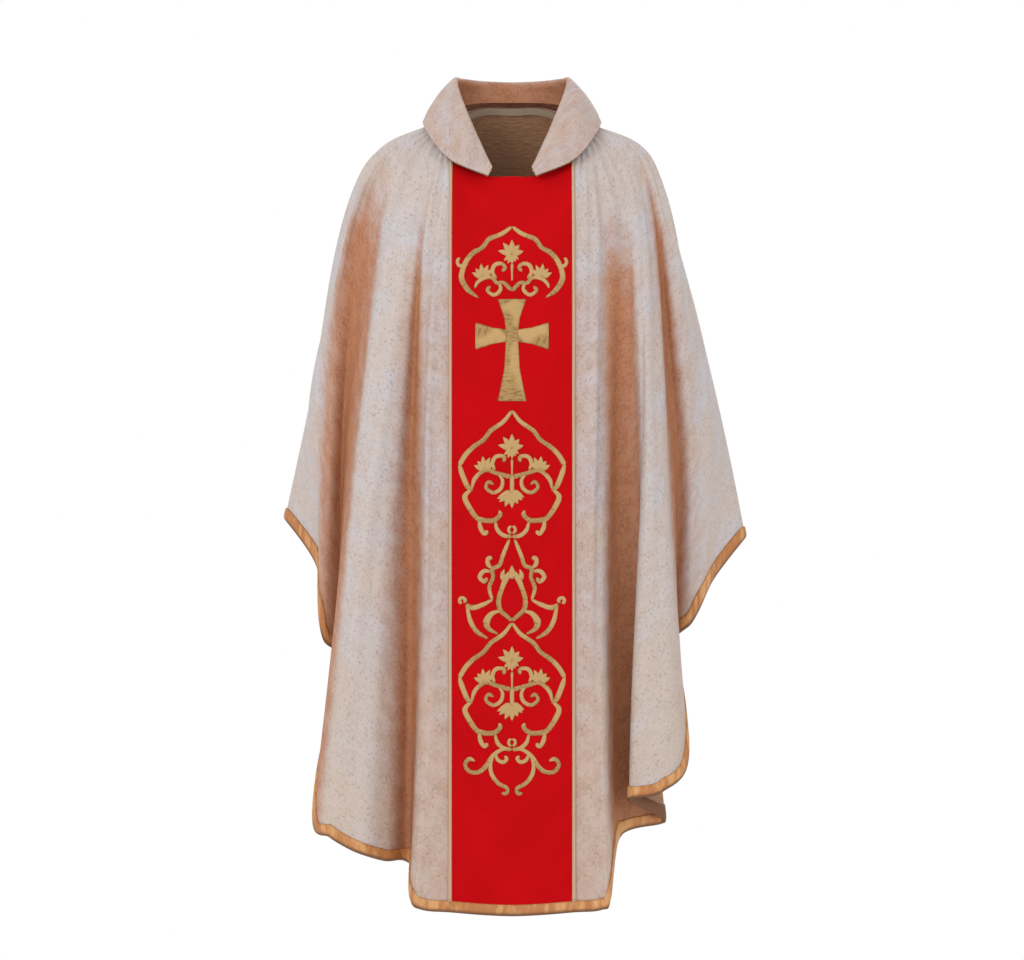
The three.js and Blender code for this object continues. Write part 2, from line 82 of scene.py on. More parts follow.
# one row per fold, centre to shoulder seam: height at the neck, drop of the hem below the
# neck's front, sideways and forward places at the six stations, and how deep in shade it lies
middleFolds = [
    (-91, 1171, [0, 0, 0, 0, 0, 0], [88, 112, 132, 150, 164, 178], 0.3),
    (-84, 1169, [49, 49, 49, 49, 49, 49], [84, 110, 131, 150, 164, 178], 0.3),
    (-20, 1165, [98, 98, 98, 98, 98, 98], [48, 98, 126, 148, 163, 177], 0.42),
]
leftFolds = [
    (-12, 1161, [101, 112, 120, 124, 126, 140], [40, 90, 122, 150, 168, 182], 0.36),
    (-8, 1147, [103, 122, 136, 139, 139, 157], [34, 84, 114, 142, 160, 176], 0.4),
    (-4, 1093, [104, 132, 146, 155, 163, 165], [28, 74, 100, 108, 108, 116], 1),
    (-1, 1087, [105, 142, 158, 178, 198, 202], [22, 66, 94, 120, 132, 142], 0.4),
    (2, 1072, [106, 155, 180, 203, 230, 245], [17, 58, 86, 124, 146, 164], 0),
    (4, 1049, [107, 168, 200, 226, 258, 286], [12, 50, 76, 112, 138, 158], 0.05),
    (5.5, 1016, [107.5, 180, 216, 240, 272, 314], [8, 42, 60, 86, 108, 128], 0.74),
    (6, 789, [108, 192, 234, 258, 272, 272], [6, 32, 42, 52, 56, 70], 1),
    (6.3, 733, [108, 200, 248, 280, 296, 302], [5, 24, 40, 60, 70, 76], 0.7),
    (6.5, 624, [108, 204, 248, 286, 322, 312], [4, 15, 27, 40, 44, 44], 0.05),
    (6.5, 546, [108, 208, 249, 287, 321, 366], [0, 0, 0, 0, 0, 0], 0.1),
]
rightFolds = [
    (-12, 1161, [101, 112, 120, 124, 126, 140], [40, 90, 122, 150, 168, 182], 0.36),
    (-8, 1145, [103, 122, 136, 140, 141, 154], [34, 84, 114, 142, 160, 176], 0.34),
    (-4, 1051, [104, 134, 156, 164, 166, 172], [28, 74, 98, 104, 106, 118], 1),
    (-1, 1027, [105, 146, 182, 194, 205, 242], [22, 66, 88, 100, 104, 112], 0.8),
    (2, 991, [106, 158, 196, 204, 200, 190], [17, 58, 84, 118, 138, 152], 0.25),
    (4, 976, [107, 170, 207, 216, 230, 237], [12, 50, 80, 120, 146, 162], 0),
    (5.5, 924, [107.5, 180, 216, 233, 252, 281], [8, 42, 66, 98, 120, 136], 0.3),
    (6, 759, [108, 190, 224, 246, 263, 256], [6, 32, 46, 62, 66, 74], 1),
    (6.3, 709, [108, 197, 236, 264, 288, 288], [5, 24, 42, 66, 74, 76], 0.35),
    (6.5, 647, [108, 203, 243, 281, 316, 320], [4, 15, 28, 42, 44, 48], 0.05),
    (6.5, 576, [108, 205, 240, 280, 328, 374], [0, 0, 0, 0, 0, 0], 0.1),
]
seam = 13  # the last fold line, along the shoulder seam
turns = 4 * seam  # fold lines once round the garment: front, then back
# heights between which the painted copper shade of the valleys comes in, near the middle and at the
# sides
shadeHeights = {"middle": (-0.08, -0.30), "side": (-0.02, -0.20), "sideFrom": 6, "sideOver": 2,
                "centreFolds": 4.5, "centreLeast": 0.5}


def foldRow(column):
    index = abs(column)
    if index <= 2:
        return middleFolds[index]
    return (leftFolds if column < 0 else rightFolds)[index - 3]


def foldStations(column, front):
    top, hem, across, forward, _ = foldRow(column)
    if not front:
        share = (hang["shoulderTop"] - top) / (hang["shoulderTop"] - hang["frontNeck"])
        rise = (hang["neckRise"] - hang["shoulderTop"]) * min(1, share * hang["backNeckFlat"])
        top = hang["shoulderTop"] + rise
    low = hang["frontNeck"] - hem
    points = []
    for station, drop in enumerate(hang["stations"]):
        y = forward[station] * (1 if front or station == 0 else hang["backShare"])
        x = math.copysign(across[station], column)
        z = top + (low - top) * drop
        points.append((x * scaleX, (-y if front else y) * scaleY, z * scaleZ))
    return points


# the ring of fold lines: front from the left seam to the right one, then back again
ring = [(column, True) for column in range(-seam, seam + 1)]
ring += [(column, False) for column in range(seam - 1, -seam, -1)]
ringPoints = np.array([foldStations(column, front) for column, front in ring])
ringShade = np.array([foldRow(column)[4] for column, _ in ring], float)


def spline(p0, p1, p2, p3, f):
    f = f[..., None]
    return 0.5 * (2 * p1 + (p2 - p0) * f + (2 * p0 - 5 * p1 + 4 * p2 - p3) * f**2
                  + (3 * p1 - p0 - 3 * p2 + p3) * f**3)


def downLine(line, t):
    # a point a share t of the way down fold lines with whole numbers; beyond the hem it runs on
    last = len(hang["stations"]) - 1
    inside = np.clip(t, 0, 1) * last
    k = np.minimum(inside.astype(int), last - 1)
    points = ringPoints[line % turns]

    def station(i):
        row = np.take_along_axis(points, np.clip(i, 0, last)[..., None, None], -2)[..., 0, :]
        first = np.take_along_axis(points, np.ones_like(i)[..., None, None], -2)[..., 0, :]
        before = 2 * points[..., 0, :] - first
        beyond = 2 * points[..., last, :] - points[..., last - 1, :]
        row = np.where((i < 0)[..., None], before, row)
        return np.where((i > last)[..., None], beyond, row)

    return spline(station(k - 1), station(k), station(k + 1), station(k + 2), inside - k)


def basePoint(a, t):
    # the smooth cloth between fold lines; a runs round the ring, t from the neck to the hem
    k = np.floor(a).astype(int)
    lines = [downLine(k + step, t) for step in (-1, 0, 1, 2)]
    return spline(*lines, a - k)


def fromMiddle(a):
    # folds between a place on the ring and the middle of its face
    return np.minimum(np.abs(a % turns - seam), np.abs(a % turns - 3 * seam))


# painted shade of a place on the cloth: the fold lines' shade across, coming in below a height,
# with a least share on the folds near the middle
def foldShade(a, z):
    k = np.floor(a).astype(int)
    f = a - k
    f = f * f * (3 - 2 * f)
    across = ringShade[k % turns] * (1 - f) + ringShade[(k + 1) % turns] * f
    column = fromMiddle(a)
    outer = np.clip((column - shadeHeights["sideFrom"]) / shadeHeights["sideOver"], 0, 1)
    begins, ends = ((1 - outer) * shadeHeights["middle"][i] + outer * shadeHeights["side"][i]
                    for i in (0, 1))
    grown = np.clip((z - begins) / (ends - begins), 0, 1)
    least = np.where(column < shadeHeights["centreFolds"], shadeHeights["centreLeast"], 0)
    return across * np.maximum(grown, least)


# small ripples that ride on the folds, none on the stiff centre bands
ripples = {"seed": 7, "count": 9, "height": 0.0011, "acrossMost": 5.5, "alongMost": 9.0,
           "stiffFolds": 2.1, "easing": 1.2}
chance = np.random.default_rng(ripples["seed"])
waves = [(chance.uniform(1.2, ripples["acrossMost"]), chance.uniform(0.5, ripples["alongMost"]),
          chance.uniform(0, 2 * math.pi), chance.uniform(0.5, 1)) for _ in range(ripples["count"])]


def rippleHeight(a, t):
    free = np.clip((fromMiddle(a) - ripples["stiffFolds"]) / ripples["easing"], 0, 1)
    free = free * free * (3 - 2 * free) * np.clip(t * 5, 0, 1)
    total = np.zeros_like(a)
    for across, along, phase, share in waves:
        turn = 2 * math.pi * round(across * turns / (2 * math.pi)) / turns
        total = total + share * np.sin(turn * a + along * t * 2 + phase)
    return total * free * ripples["height"]


sampling = {"down": 0.004, "across": 0.05}  # steps to either side when a slope is measured


def clothPoint(a, t, height):
    # the hanging cloth's surface, lifted off by a height along its normal
    a, t = np.broadcast_arrays(np.asarray(a, float), np.asarray(t, float))
    step, aside = sampling["down"], sampling["across"]
    inside = np.clip(t, step, 1 - step)
    across = basePoint(a + aside, inside) - basePoint(a - aside, inside)
    down = basePoint(a, inside + step) - basePoint(a, inside - step)
    normal = np.cross(down, across)
    normal /= np.maximum(np.linalg.norm(normal, axis=-1, keepdims=True), 1e-12)
    beyond = (t - np.clip(t, 0, 1))[..., None] * down / (2 * step)
    lift = (height + rippleHeight(a, t))[..., None]
    return basePoint(a, t) + beyond + normal * lift


print("fold lines ready")


class Signal:
    def __init__(self, paint, socket):
        self.paint, self.socket = paint, socket

    def __add__(self, other):
        return self.paint.maths("ADD", self, other)

    __radd__ = __add__

    def __sub__(self, other):
        return self.paint.maths("SUBTRACT", self, other)

    def __rsub__(self, other):
        return self.paint.maths("SUBTRACT", other, self)

    def __mul__(self, other):
        return self.paint.maths("MULTIPLY", self, other)

    __rmul__ = __mul__


class Paint:
    def __init__(self, name):
        self.material = bpy.data.materials.new(name)
        self.material.use_nodes = True
        self.tree = self.material.node_tree
        self.shader = self.tree.nodes["Principled BSDF"]

    def plug(self, socket, value):
        if isinstance(value, Signal):
            self.tree.links.new(value.socket, socket)
        else:
            socket.default_value = value

    def node(self, kind, settings=None, inputs=None, out=0):
        made = self.tree.nodes.new(kind)
        for key, value in (settings or {}).items():
            setattr(made, key, value)
        for key, value in (inputs or {}).items():
            self.plug(made.inputs[key], value)
        return Signal(self, made.outputs[out])

    def maths(self, operation, a, b=0.0):
        settings = {"operation": operation}
        return self.node("ShaderNodeMath", settings, {0: a, 1: b})

    def mix(self, share, a, b):
        settings = {"data_type": "RGBA", "clamp_factor": True}
        return self.node("ShaderNodeMix", settings, {0: share, 6: a, 7: b}, out=2)

    def range(self, value, low, high, toLow=0.0, toHigh=1.0):
        inputs = {"Value": value, "From Min": low, "From Max": high, "To Min": toLow,
                  "To Max": toHigh}
        return self.node("ShaderNodeMapRange", {"interpolation_type": "SMOOTHSTEP"}, inputs)

    def uv(self):
        return self.node("ShaderNodeUVMap", {"uv_map": "UVMap"})

    def scaled(self, vector, scale, turn=0.0):
        each = (scale, scale, scale) if isinstance(scale, (int, float)) else scale
        inputs = {"Vector": vector, "Scale": each, "Rotation": (0, 0, turn)}
        return self.node("ShaderNodeMapping", None, inputs)

    def noise(self, vector, scale, detail):
        inputs = {"Vector": vector, "Scale": scale, "Detail": detail}
        return self.node("ShaderNodeTexNoise", {"noise_dimensions": "2D"}, inputs)

    def wave(self, vector, scale, direction="X", distortion=0.0):
        inputs = {"Vector": vector, "Scale": scale, "Distortion": distortion}
        return self.node("ShaderNodeTexWave", {"bands_direction": direction}, inputs)

    def bump(self, height, strength, distance):
        inputs = {"Height": height, "Strength": strength, "Distance": distance}
        return self.node("ShaderNodeBump", None, inputs)

    def finish(self, **sockets):
        for name, value in sockets.items():
            self.plug(self.shader.inputs[name.replace("_", " ")], value)
        return self.material


def brocadeCloth():
    # silver cream figured cloth, mixed into a painted copper shade where the fold attribute marks
    # the valleys of the folds
    look = {"cream": (0.485, 0.415, 0.385, 1), "silver": (0.475, 0.445, 0.465, 1),
            "rose": (0.50, 0.415, 0.38, 1), "warm": (0.50, 0.39, 0.315, 1),
            "figure": (0.41, 0.33, 0.265, 1),
            "speck": (0.17, 0.155, 0.13, 1), "spark": (0.82, 0.79, 0.78, 1),
            "valleyShade": (0.40, 0.165, 0.078, 1), "valleyShadeDark": (0.27, 0.095, 0.04, 1),
            "vine": 92, "dot": 130, "spot": 105}
    p = Paint("brocade")
    uv = p.uv()
    fold = p.node("ShaderNodeAttribute", {"attribute_name": "fold"}, out=2)
    drift = p.noise(uv, 34, 3)
    sway = p.node("ShaderNodeTexNoise", {"noise_dimensions": "2D"},
                  {"Vector": uv, "Scale": 70.0, "Detail": 2.0}, out=1)
    bent = p.node("ShaderNodeVectorMath", {"operation": "MULTIPLY_ADD"},
                  {0: sway, 1: (0.02, 0.02, 0.0), 2: uv})
    flat = {"voronoi_dimensions": "2D"}
    vine = p.node("ShaderNodeTexVoronoi", {**flat, "feature": "DISTANCE_TO_EDGE"},
                  {"Vector": bent, "Scale": look["vine"]})
    dot = p.node("ShaderNodeTexVoronoi", {**flat, "feature": "F1"},
                 {"Vector": bent, "Scale": look["dot"]})
    spot = p.node("ShaderNodeTexVoronoi", {**flat, "feature": "F1"},
                  {"Vector": uv, "Scale": look["spot"]})
    chosen = p.noise(uv, 46, 1)
    stems = p.range(vine, 0.04, 0.16, 1.0, 0.0) * p.range(drift, 0.40, 0.56)
    leaves = p.range(dot, 0.22, 0.44, 1.0, 0.0) * p.range(chosen, 0.50, 0.62)
    figure = p.maths("MAXIMUM", stems, leaves)
    specks = p.range(spot, 0.08, 0.30, 1.0, 0.0) * p.range(chosen, 0.44, 0.54, 1.0, 0.0)
    grain = p.noise(uv, 480, 2)
    # painted glints: small bright silver spots of the metal thread, which also get a little metal
    # and gloss
    glints = p.range(grain, 0.62, 0.72)
    broad = p.noise(uv, 11, 2)
    ground = p.mix(p.range(broad, 0.32, 0.6), look["silver"], look["cream"])
    ground = p.mix(p.range(broad, 0.5, 0.72) * 0.7, ground, look["rose"])
    down = p.node("ShaderNodeSeparateXYZ", None, {0: uv}, out=1)
    ground = p.mix(p.range(down, 0.55, 1.1) * 0.55, ground, look["warm"])
    lit = p.mix(figure * 0.5, ground, look["figure"])
    lit = p.mix(specks * 0.36, lit, look["speck"])
    lit = p.mix(glints * 0.3, lit, look["spark"])
    # painted shade: the copper colour of the cloth in the fold valleys, with its own figure, specks
    # and glints
    deep = p.mix(figure * 0.6, look["valleyShade"], look["valleyShadeDark"])
    deep = p.mix(specks * 0.4, deep, look["valleyShadeDark"])
    deep = p.mix(glints * 0.25, deep, look["cream"])
    # how far each place lies in painted shade, from the fold attribute with a little noise
    share = p.range(fold + (drift - 0.5) * 0.3, 0.1, 0.95)
    colour = p.mix(share, lit, deep)
    weave = p.wave(uv, 260, "DIAGONAL") * 0.5 + p.wave(uv, 330, "Y") * 0.5
    relief = figure * 0.6 + weave * 0.3 + grain * 0.3
    rough = 0.66 - figure * 0.14 - glints * 0.12
    return p.finish(Base_Color=colour, Roughness=rough, Metallic=glints * 0.2,
                    Specular_IOR_Level=0.3, Normal=p.bump(relief, 0.32, 0.0006))


def liningCloth():
    look = {"warm": (0.25, 0.12, 0.06, 1), "light": (0.37, 0.20, 0.11, 1)}
    p = Paint("lining")
    uv = p.uv()
    slub = p.noise(p.scaled(uv, (1, 9, 1)), 60, 3)
    weave = p.wave(uv, 420, "X")
    colour = p.mix(p.range(slub, 0.3, 0.7), look["warm"], look["light"])
    return p.finish(Base_Color=colour, Roughness=0.5 + slub * 0.15, Specular_IOR_Level=0.3,
                    Normal=p.bump(weave * 0.6 + slub * 0.4, 0.3, 0.0004))


def redCloth():
    look = {"red": (0.485, 0.0005, 0.003, 1), "deep": (0.41, 0.0002, 0.002, 1)}
    p = Paint("orphreyRed")
    uv = p.uv()
    cloudy = p.noise(uv, 14, 3)
    rib = p.wave(uv, 210, "Y", 0.6)
    cross = p.wave(uv, 300, "X", 0.4)
    grain = p.noise(uv, 900, 2)
    colour = p.mix(p.range(cloudy * 0.4 + grain * 0.6, 0.35, 0.65), look["deep"], look["red"])
    return p.finish(Base_Color=colour, Roughness=0.75 + grain * 0.15, Specular_IOR_Level=0.08,
                    Normal=p.bump(rib * 0.5 + cross * 0.25 + grain * 0.3, 0.25, 0.0004))


def goldStitch():
    look = {"gold": (0.37, 0.215, 0.07, 1), "pale": (0.50, 0.32, 0.125, 1),
            "deep": (0.21, 0.112, 0.028, 1)}
    p = Paint("goldThread")
    uv = p.uv()
    stitch = p.wave(p.scaled(uv, 1, 0.2), 300, "Y", 0.5)
    uneven = p.noise(p.scaled(uv, (0.6, 3, 1)), 130, 2)
    broad = p.noise(uv, 22, 1)
    colour = p.mix(p.range(uneven, 0.3, 0.55), look["deep"], look["gold"])
    # painted highlights: broad paler patches on the gold thread
    colour = p.mix(p.range(broad, 0.45, 0.62) * 0.7, colour, look["pale"])
    return p.finish(Base_Color=colour, Roughness=0.45 + uneven * 0.15, Metallic=0.25,
                    Normal=p.bump(stitch * 0.6 + uneven * 0.4, 0.35, 0.0004))


def goldSatin():
    look = {"satin": (0.42, 0.155, 0.038, 1), "shine": (0.60, 0.30, 0.11, 1),
            "dark": (0.15, 0.055, 0.014, 1)}
    p = Paint("goldSatin")
    uv = p.uv()
    around = p.node("ShaderNodeSeparateXYZ", None, {0: uv}, out=1)
    pucker = p.noise(p.scaled(uv, (1, 0.02, 1)), 95, 3)
    broad = p.noise(p.scaled(uv, (1, 0.02, 1)), 12, 2)
    twill = p.wave(uv, 380, "DIAGONAL")
    # painted highlights: paler shine in lengthwise patches along the satin
    colour = p.mix(p.range(pucker * 0.5 + broad * 0.5, 0.42, 0.62), look["satin"], look["shine"])
    # painted shade: darker on the binding's underside and back
    colour = p.mix(p.range(around, 0.26, 0.42), colour, look["dark"])
    # darker along its top edge by the cloth
    colour = p.mix(p.range(around, 0.09, 0.0) * 0.6, colour, look["dark"])
    relief = pucker * 0.8 + twill * 0.15
    return p.finish(Base_Color=colour, Roughness=0.36 + twill * 0.1, Metallic=0.1,
                    Normal=p.bump(relief, 0.5, 0.0012))


def pipingCloth():
    look = {"beige": (0.60, 0.42, 0.29, 1), "dark": (0.42, 0.26, 0.14, 1)}
    p = Paint("piping")
    uv = p.uv()
    twist = p.wave(p.scaled(uv, 1, 0.8), 120, "DIAGONAL")
    fuzz = p.noise(uv, 700, 2)
    colour = p.mix(p.range(twist * 0.7 + fuzz * 0.3, 0.2, 0.8), look["dark"], look["beige"])
    return p.finish(Base_Color=colour, Roughness=0.5 + fuzz * 0.15, Metallic=0.15,
                    Normal=p.bump(twist, 0.6, 0.0008))


def cottonTape():
    p = Paint("cottonTape")
    uv = p.uv()
    herring = p.wave(uv, 260, "DIAGONAL")
    grain = p.noise(uv, 400, 2)
    colour = p.mix(grain, (0.30, 0.22, 0.15, 1), (0.40, 0.30, 0.21, 1))
    return p.finish(Base_Color=colour, Roughness=0.8 + grain * 0.1,
                    Normal=p.bump(herring, 0.5, 0.0005))


finishes = {"brocade": brocadeCloth(), "lining": liningCloth(), "orphrey_red": redCloth(),
            "gold_thread": goldStitch(), "gold_satin": goldSatin(), "piping": pipingCloth(),
            "tape": cottonTape()}
print("materials ready")


def sheetGrid(name, columns, rows, points, flat, shade=None):
    # a grid of cloth whose vertices are given as (rows + 1, columns + 1, 3)
    bpy.ops.mesh.primitive_grid_add(x_subdivisions=columns, y_subdivisions=rows, size=1)
    piece = bpy.context.object
    piece.name = name
    piece.data.name = name
    mesh = piece.data
    mesh.vertices.foreach_set("co", points.reshape(-1, 3).astype(np.float32).ravel())
    corner = np.zeros(len(mesh.loops), np.int32)
    mesh.loops.foreach_get("vertex_index", corner)
    uv = flat.reshape(-1, 2)[corner].astype(np.float32)
    mesh.uv_layers[0].name = "UVMap"
    mesh.uv_layers[0].data.foreach_set("uv", uv.ravel())
    if shade is not None:
        # the painted shade of the folds, kept as the fold attribute
        attribute = mesh.attributes.new("fold", "FLOAT", "POINT")
        attribute.data.foreach_set("value", shade.ravel().astype(np.float32))
    mesh.update()
    bpy.ops.object.select_all(action="DESELECT")
    return piece


def faceOut(piece, outward):
    # turns the sheet over if its first side doesn't face along the wanted directions
    mesh = piece.data
    normals = np.zeros(len(mesh.vertices) * 3, np.float32)
    mesh.vertices.foreach_get("normal", normals)
    if (normals.reshape(-1, 3) * outward.reshape(-1, 3)).sum() < 0:
        mesh.flip_normals()


smoothAngle = math.radians(50)


def thicken(piece, thickness, offset=-1.0):
    bpy.context.view_layer.objects.active = piece
    piece.select_set(True)
    solid = piece.modifiers.new("Thickness", "SOLIDIFY")
    solid.thickness = thickness
    solid.offset = offset
    solid.use_even_offset = False
    bpy.ops.object.modifier_apply(modifier=solid.name)
    bpy.ops.object.shade_smooth_by_angle(angle=smoothAngle)
    piece.select_set(False)


def dress(piece, slot, nodes):
    # gives a piece its finish and hides the parts of the frame it stands for
    piece.data.materials.clear()
    piece.data.materials.append(finishes[slot])
    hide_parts(*nodes)


def flatPlaces(points):
    # places on the cloth laid flat: lengths across each row and down each column
    across = np.linalg.norm(np.diff(points, axis=1), axis=2)
    across = np.concatenate([np.zeros((len(points), 1)), np.cumsum(across, axis=1)], axis=1)
    down = np.linalg.norm(np.diff(points, axis=0), axis=2)
    down = np.concatenate([np.zeros((1, points.shape[1])), np.cumsum(down, axis=0)], axis=0)
    return np.stack([across, down], axis=2)


def clothPatch(name, start, end, t0, t1, columns, rows, height, thickness, mirrored=False):
    a = np.linspace(start, end, columns + 1)[None, :]
    t = np.linspace(t0, t1, rows + 1)[:, None]
    a, t = np.broadcast_arrays(a, t)
    points = clothPoint(a, t, height)
    inner = clothPoint(a, t, height - thickness)
    flat = flatPlaces(points)
    if mirrored:
        flat[..., 0] = flat[:, -1:, 0] - flat[..., 0]
    piece = sheetGrid(name, columns, rows, points, flat, foldShade(a, points[..., 2]))
    faceOut(piece, points - inner)
    thicken(piece, thickness)
    return piece


def hangFrom(piece):
    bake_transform(piece)


quarters = [
    {"name": "frontLeft", "face": "front", "side": -1, "start": 0, "end": seam},
    {"name": "frontRight", "face": "front", "side": 1, "start": seam, "end": 2 * seam},
    {"name": "backRight", "face": "back", "side": 1, "start": 2 * seam, "end": 3 * seam},
    {"name": "backLeft", "face": "back", "side": -1, "start": 3 * seam, "end": 4 * seam},
]
cloth = {"perFold": 11, "rows": 190, "height": 0.0014, "thickness": 0.0014, "liningHeight": -0.0026,
         "liningThickness": 0.0008, "liningPerFold": 7, "liningRows": 110}


def makeQuarter(quarter):
    sideName = "left" if quarter["side"] < 0 else "right"
    face = quarter["face"]
    mirrored = quarter["name"] in ("frontLeft", "backRight")
    made = []
    for kind in ("cloth", "lining"):
        outer = kind == "cloth"
        columns = seam * (cloth["perFold"] if outer else cloth["liningPerFold"])
        rows = cloth["rows"] if outer else cloth["liningRows"]
        height = cloth["height"] if outer else cloth["liningHeight"] + cloth["liningThickness"]
        thickness = cloth["thickness"] if outer else cloth["liningThickness"]
        name = quarter["name"] + ("Cloth" if outer else "Lining")
        piece = clothPatch(name, quarter["start"], quarter["end"], 0, 1, columns, rows,
                           height, thickness, mirrored)
        nodes = [f"{face}_{sideName}_{kind}", f"{sideName}_side_{face}_{kind}"]
        dress(piece, "brocade" if outer else "lining", nodes)
        hangFrom(piece)
        made.append(piece)
    return made


quarterPieces = {quarter["name"]: makeQuarter(quarter) for quarter in quarters}
print("cloth and lining hung")


def stripMesh(name, rings, flat):
    # a tube through rings of points (count, around, 3), its ends capped
    count, around = rings.shape[:2]
    vertices = rings.reshape(-1, 3)
    faces = []
    for i in range(count - 1):
        for k in range(around):
            m = (k + 1) % around
            faces.append((i * around + k, i * around + m, (i + 1) * around + m,
                          (i + 1) * around + k))
    faces.append(tuple(range(around))[::-1])
    faces.append(tuple(range((count - 1) * around, count * around)))
    mesh = bpy.data.meshes.new(name)
    mesh.from_pydata(vertices.tolist(), [], faces)
    layer = mesh.uv_layers.new(name="UVMap")
    corner = np.zeros(len(mesh.loops), np.int32)
    mesh.loops.foreach_get("vertex_index", corner)
    layer.data.foreach_set("uv", flat.reshape(-1, 2)[corner].astype(np.float32).ravel())
    piece = bpy.data.objects.new(name, mesh)
    bpy.context.scene.collection.objects.link(piece)
    outwards(piece)
    for polygon in mesh.polygons:
        polygon.use_smooth = len(polygon.vertices) == 4
    return piece


def outwards(piece):
    # faces of a closed strip made to point out, by the sign of the volume they hold
    mesh = piece.data
    mesh.calc_loop_triangles()
    v = np.array([x.co for x in mesh.vertices])
    t = np.array([x.vertices for x in mesh.loop_triangles])
    v = v - v.mean(axis=0)
    volume = (np.cross(v[t[:, 0]], v[t[:, 1]]) * v[t[:, 2]]).sum()
    if volume < 0:
        mesh.flip_normals()


# satin folded over the edge: (height off the cloth, distance below the hem), in millimetres
binding = {"section": [(2.9, -15.5), (4.0, -14), (4.5, -9), (4.5, -4), (3.9, -0.5), (2.4, 2.2),
                       (-0.4, 3.0), (-3.2, 2.0), (-4.4, -1), (-4.6, -6), (-4.2, -13), (-3.0, -15)],
           "perFold": 14, "leastSlant": 0.3, "stepDown": 0.002, "stepAside": 0.02}


def hemStrip(quarter):
    count = seam * binding["perFold"] + 1
    a = np.linspace(quarter["start"], quarter["end"], count)
    t = np.ones(count)
    step, aside = binding["stepDown"], binding["stepAside"]
    down = (basePoint(a, t) - basePoint(a, t - step)) / step
    along = basePoint(a + aside, t) - basePoint(a - aside, t)
    along /= np.linalg.norm(along, axis=1, keepdims=True)
    length = np.linalg.norm(down, axis=1)
    cosine = (down * along).sum(axis=1) / length
    slant = np.maximum(np.sqrt(np.clip(1 - cosine**2, 0, 1)), binding["leastSlant"])
    rings = []
    for height, below in binding["section"]:
        rings.append(clothPoint(a, 1 + below / 1000 / (length * slant), height / 1000))
    rings = np.stack(rings, axis=1)
    hem = np.concatenate([[0], np.cumsum(np.linalg.norm(np.diff(rings[:, 3], axis=0), axis=1))])
    around = np.linspace(0, 1, len(binding["section"]))
    flat = np.stack(np.broadcast_arrays(hem[:, None], around[None, :]), axis=2)
    name = quarter["name"] + "Binding"
    piece = stripMesh(name, rings, flat)
    sideName = "left" if quarter["side"] < 0 else "right"
    nodes = [f"{sideName}_side_{quarter['face']}_binding"]
    if quarter["side"] < 0:
        nodes.append(f"{quarter['face']}_hem_binding")
    dress(piece, "gold_satin", nodes)
    hangFrom(piece)
    return piece


for quarter in quarters:
    quarterPieces[quarter["name"]].append(hemStrip(quarter))
print("hems bound")

# the centre bands and the piping along their edges
band = {"folds": 2, "height": 0.0030, "thickness": 0.0012, "columns": 40, "rows": 200,
        "hemGap": 0.013, "pipingRadius": (0.0033, 0.0024), "pipingHeight": 0.0030,
        "pipingSides": 12, "pipingRows": 260, "pipingTop": 0.002,
        "lastStretch": 1.7}  # how much longer the last share of the cloth is
hemT = 1 - band["hemGap"] / (middleFolds[0][1] * scaleZ * band["lastStretch"])
trims = {}  # what is sewn to each orphrey


def makeBand(face, middle):
    piece = clothPatch(f"{face}Orphrey", middle - band["folds"], middle + band["folds"], 0, hemT,
                       band["columns"], band["rows"], band["height"], band["thickness"])
    dress(piece, "orphrey_red", [f"{face}_orphrey"])
    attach(piece, "root")
    trims[face] = []
    for sideName, offset in (("left", -band["folds"]), ("right", band["folds"])):
        edge = middle + (offset if face == "front" else -offset)
        t = np.linspace(band["pipingTop"], hemT, band["pipingRows"])
        turn = np.linspace(0, 2 * math.pi, band["pipingSides"], endpoint=False)
        wide, high = band["pipingRadius"]
        perFold = hang["bandFold"] * scaleX
        rings = [clothPoint(edge + np.cos(angle) * wide / perFold + 0 * t, t,
                            band["pipingHeight"] + np.sin(angle) * high + 0 * t) for angle in turn]
        rings = np.stack(rings, axis=1)
        steps = np.linalg.norm(np.diff(rings[:, 0], axis=0), axis=1)
        length = np.concatenate([[0], np.cumsum(steps)])
        flat = np.stack(np.broadcast_arrays(turn[None, :] * wide, length[:, None]), axis=2)
        cord = stripMesh(f"{face}{sideName.capitalize()}Piping", rings, flat)
        dress(cord, "piping", [f"{face}_{sideName}_piping"])
        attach(cord, "root")
        trims[face].append(cord)


makeBand("front", seam)
makeBand("back", 3 * seam)
print("orphreys and piping laid")

collar = {
    "seam": [(0, 80, 42), (60, 71, 40), (97, 42, 30), (107, 0, 15), (99, -44, -9), (72, -68, -50),
             (34, -90, -84)],
    "roll": [(0, 86, 74), (46, 77, 75), (80, 46, 76), (91, 4, 73), (84, -34, 44), (62, -70, -12),
             (33, -96, -78)],
    "edge": [(0, 136, -6), (60, 128, -2), (112, 96, 6), (143, 14, 7), (130, -64, -26),
             (98, -98, -64), (38, -104, -90)],
    "around": 220, "down": 60, "thickness": 0.0024, "bulge": 0.007,
    "facingGap": 0.0032, "facingThickness": 0.0009,
    "shadeAt": [0, 0.3, 0.42, 0.5, 1], "shade": [0.95, 0.85, 0.5, 0.38, 0.40],
}


def collarLine(points, u):
    half = np.array(points, float) * (scaleX, scaleY, scaleZ)
    left = half[:0:-1] * (-1, 1, 1)
    line = np.concatenate([left, half])
    line = np.concatenate([[2 * line[0] - line[1]], line, [2 * line[-1] - line[-2]]])
    place = np.clip(u, 0, 1) * (len(line) - 3)
    k = np.minimum(place.astype(int), len(line) - 4)
    return spline(line[k], line[k + 1], line[k + 2], line[k + 3], place - k)


